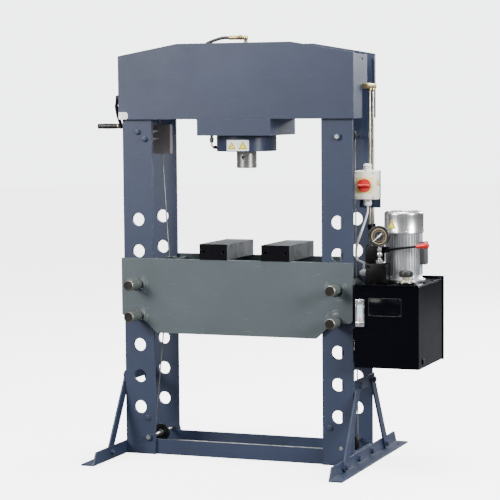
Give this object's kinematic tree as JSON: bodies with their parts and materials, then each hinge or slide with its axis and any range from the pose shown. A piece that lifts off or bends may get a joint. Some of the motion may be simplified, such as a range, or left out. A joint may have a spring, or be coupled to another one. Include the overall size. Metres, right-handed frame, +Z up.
{
  "type": "hydraulic shop press",
  "caption": "Floor-standing hydraulic H-frame press with pinned height table, press blocks, rope winch and side-mounted power unit.",
  "frame": {"origin": "on the floor, at the centre of the four floor anchor holes, which is also the middle of the H-frame", "axes": "+Z up, front (the side with the round switch and gauge) towards -Y, power unit towards +X"},
  "size_m": [1.6927, 1.05, 1.9967],
  "materials": {
    "frame_paint": "semi-gloss blue-grey paint, scuffed",
    "table_paint": "satin grey paint, scratched",
    "gland_paint": "semi-gloss dark blue-grey paint",
    "tank_paint": "gloss black enamel",
    "bare_steel": "bright turned steel",
    "dark_steel": "blackened steel",
    "block_steel": "black ends on ground steel",
    "cast_iron": "rough cast",
    "zinc": "zinc plated",
    "cream_pipe": "plated pipe",
    "rope_steel": "stranded wire",
    "hose_rubber": "braided rubber",
    "motor_aluminium": "die-cast aluminium",
    "black_plastic": "moulded",
    "red_plastic": "moulded",
    "pale_plastic": "moulded",
    "white_plastic": "moulded",
    "grey_cable": "sheathed cable",
    "needle_white": "painted pointer",
    "gauge_black": "black case"
  },
  "bodies": {
    "frame": {"beam_front_plate": "frame_paint", "beam_rear_plate": "frame_paint", "beam_end_plates": "frame_paint", "cylinder_mount": "frame_paint", "post_front_left": "frame_paint", "post_front_right": "frame_paint", "post_rear_left": "frame_paint", "post_rear_right": "frame_paint", "base_channel": "frame_paint", "foot_left": "frame_paint", "foot_right": "frame_paint", "foot_braces": "frame_paint", "axles_and_bolts": "dark_steel", "cylinder_barrel": "gland_paint", "cylinder_gland": "gland_paint", "port_fittings": "zinc", "top_hose": "hose_rubber", "steel_pipes": "cream_pipe", "valve_hoses": "hose_rubber", "winch_frame": "dark_steel", "rope_guard": "zinc", "guide_rope": "rope_steel", "table_rope_right": "rope_steel", "switch_box": "pale_plastic", "cable_glands": "white_plastic", "control_cable": "grey_cable", "tank": "tank_paint", "tank_lid": "tank_paint", "side_brackets": "frame_paint", "level_gauge": "white_plastic", "motor_body": "motor_aluminium", "motor_hood": "motor_aluminium", "pump": "cast_iron", "valve_block": "dark_steel", "gauge_case": "gauge_black"},
    "ram": {"ram_rod": "bare_steel", "piston": "cast_iron", "ram_nose": "bare_steel"},
    "table": {"table_front_plate": "table_paint", "table_rear_plate": "table_paint", "table_spacers": "table_paint", "table_rope_left": "rope_steel", "lift_rope": "rope_steel"},
    "block_left": {"block_left": "block_steel"},
    "block_right": {"block_right": "block_steel"},
    "pin_upper_left": {"pin_upper_left": "bare_steel"},
    "pin_lower_left": {"pin_lower_left": "bare_steel"},
    "pin_upper_right": {"pin_upper_right": "bare_steel"},
    "pin_lower_right": {"pin_lower_right": "bare_steel"},
    "crank": {"crank_arm": "dark_steel"},
    "grip": {"crank_grip": "black_plastic"},
    "drum": {"rope_drum": "zinc"},
    "pulley_bottom_left": {"pulley_bottom_left": "dark_steel"},
    "pulley_bottom_right": {"pulley_bottom_right": "dark_steel"},
    "pulley_top_right": {"pulley_top_right": "dark_steel"},
    "rotor": {"motor_rotor": "dark_steel"},
    "lever": {"valve_lever": "red_plastic"},
    "needle": {"gauge_needle": "needle_white"},
    "knob": {"switch_knob": "red_plastic"},
    "filler": {"filler_cap": "black_plastic"}
  },
  "joints": [
    {"name": "ram_stroke", "type": "slide", "parent": "frame", "child": "ram", "axis": [0, 0, -1], "range_m": [0, 0.27]},
    {"name": "table_lift", "type": "slide", "parent": "frame", "child": "table", "axis": [0, 0, 1], "range_m": [0, 0.011], "deforming": ["lift_rope", "table_rope_left"]},
    {"name": "block_left_slide", "type": "slide", "parent": "table", "child": "block_left", "axis": [1, 0, 0], "range_m": [-0.2, 0.15]},
    {"name": "block_right_slide", "type": "slide", "parent": "table", "child": "block_right", "axis": [1, 0, 0], "range_m": [-0.015, 0.12]},
    {"name": "pin_upper_left_pull", "type": "slide", "parent": "frame", "child": "pin_upper_left", "axis": [0, -1, 0], "range_m": [0, 0.42]},
    {"name": "pin_lower_left_pull", "type": "slide", "parent": "frame", "child": "pin_lower_left", "axis": [0, -1, 0], "range_m": [0, 0.42]},
    {"name": "pin_upper_right_pull", "type": "slide", "parent": "frame", "child": "pin_upper_right", "axis": [0, -1, 0], "range_m": [0, 0.42]},
    {"name": "pin_lower_right_pull", "type": "slide", "parent": "frame", "child": "pin_lower_right", "axis": [0, -1, 0], "range_m": [0, 0.42]},
    {"name": "crank_turn", "type": "hinge", "parent": "frame", "child": "crank", "pos_m": [-0.64, -0.06, 1.7052], "axis": [1, 0, 0], "range_deg": [-60, 60]},
    {"name": "grip_turn", "type": "hinge", "parent": "crank", "child": "grip", "pos_m": [-0.7, -0.02613, 1.56936], "axis": [1, 0, 0], "continuous": true},
    {"name": "drum_turn", "type": "hinge", "parent": "frame", "child": "drum", "pos_m": [-0.45, -0.033, 1.655], "axis": [1, 0, 0], "range_deg": [-30, 30]},
    {"name": "bottom_left_pulley_turn", "type": "hinge", "parent": "frame", "child": "pulley_bottom_left", "pos_m": [-0.455, 0, 0.082], "axis": [0, 1, 0], "range_deg": [-30, 30]},
    {"name": "bottom_right_pulley_turn", "type": "hinge", "parent": "frame", "child": "pulley_bottom_right", "pos_m": [0.511, 0, 0.082], "axis": [0, 1, 0], "range_deg": [-30, 30]},
    {"name": "top_right_pulley_turn", "type": "hinge", "parent": "frame", "child": "pulley_top_right", "pos_m": [0.502, 0, 1.52], "axis": [0, 1, 0], "range_deg": [-30, 30]},
    {"name": "motor_spin", "type": "hinge", "parent": "frame", "child": "rotor", "pos_m": [0.771, 0, 1], "axis": [0, 0, 1], "continuous": true},
    {"name": "valve_throw", "type": "hinge", "parent": "frame", "child": "lever", "pos_m": [0.718, -0.11, 1.003], "axis": [0, 1, 0], "range_deg": [-20, 20], "stiffness_Nm_per_rad": 8},
    {"name": "needle_swing", "type": "hinge", "parent": "frame", "child": "needle", "pos_m": [0.7, -0.163, 1.068], "axis": [0, 1, 0], "range_deg": [0, 260], "stiffness_Nm_per_rad": 0.02},
    {"name": "switch_turn", "type": "hinge", "parent": "frame", "child": "knob", "pos_m": [0.613, -0.1, 1.2965], "axis": [0, 1, 0], "range_deg": [0, 90]},
    {"name": "filler_cap_lift", "type": "slide", "parent": "frame", "child": "filler", "axis": [0, 0, 1], "range_m": [0, 0.06]}
  ],
  "couplings": [
    {"joint": "drum_turn", "follows": "table_lift", "rad_per_m": 30.303},
    {"joint": "crank_turn", "follows": "table_lift", "rad_per_m": -71.301},
    {"joint": "bottom_left_pulley_turn", "follows": "table_lift", "rad_per_m": -28.571},
    {"joint": "bottom_right_pulley_turn", "follows": "table_lift", "rad_per_m": -28.571},
    {"joint": "top_right_pulley_turn", "follows": "table_lift", "rad_per_m": -28.571}
  ]
}
